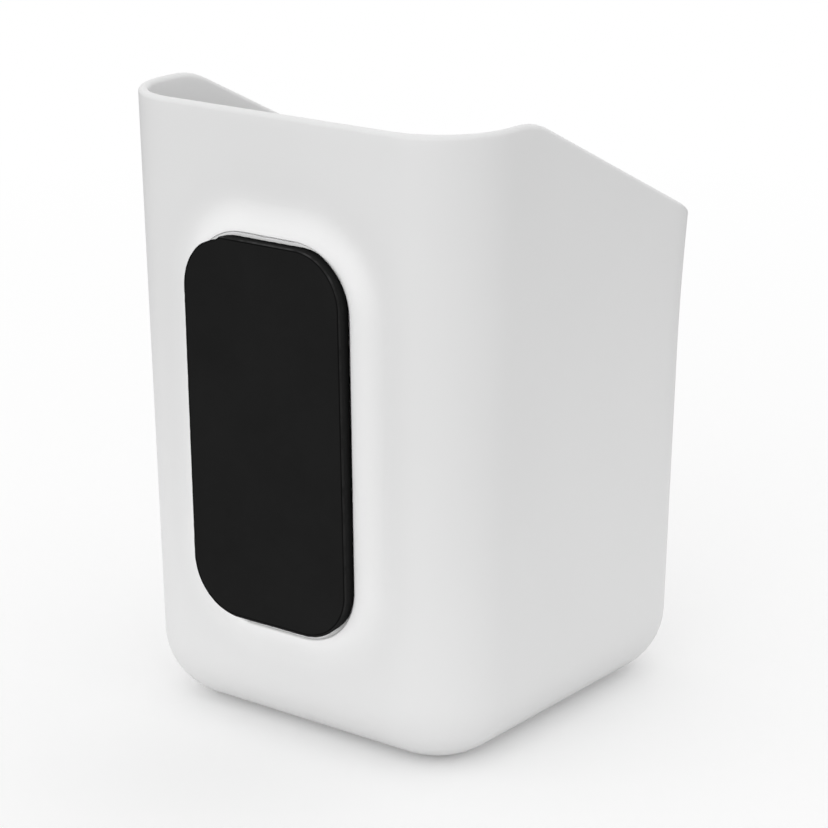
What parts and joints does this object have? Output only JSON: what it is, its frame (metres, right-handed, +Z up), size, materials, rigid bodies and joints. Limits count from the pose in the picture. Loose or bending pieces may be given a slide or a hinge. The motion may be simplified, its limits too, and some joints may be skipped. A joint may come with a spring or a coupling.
{
  "type": "magnetic pen holder",
  "caption": "Open-topped plastic cup with a level back, a low front and a flat magnet on its back wall, for pens on a desk or a steel board.",
  "frame": {"origin": "centre of the cup's flat underside, on the surface that it stands on", "axes": "+Z up, the low front faces -Y, the magnet faces +Y, X across the cup"},
  "size_m": [0.0692, 0.0758, 0.102],
  "materials": {
    "white_plastic": "satin moulded, soft gloss",
    "foam_tape": "matt white foam",
    "magnet_rubber": "matt black"
  },
  "bodies": {
    "root": {"cup_body": "white_plastic", "adhesive_tape": "foam_tape", "magnet_sheet": "magnet_rubber"}
  },
  "joints": []
}
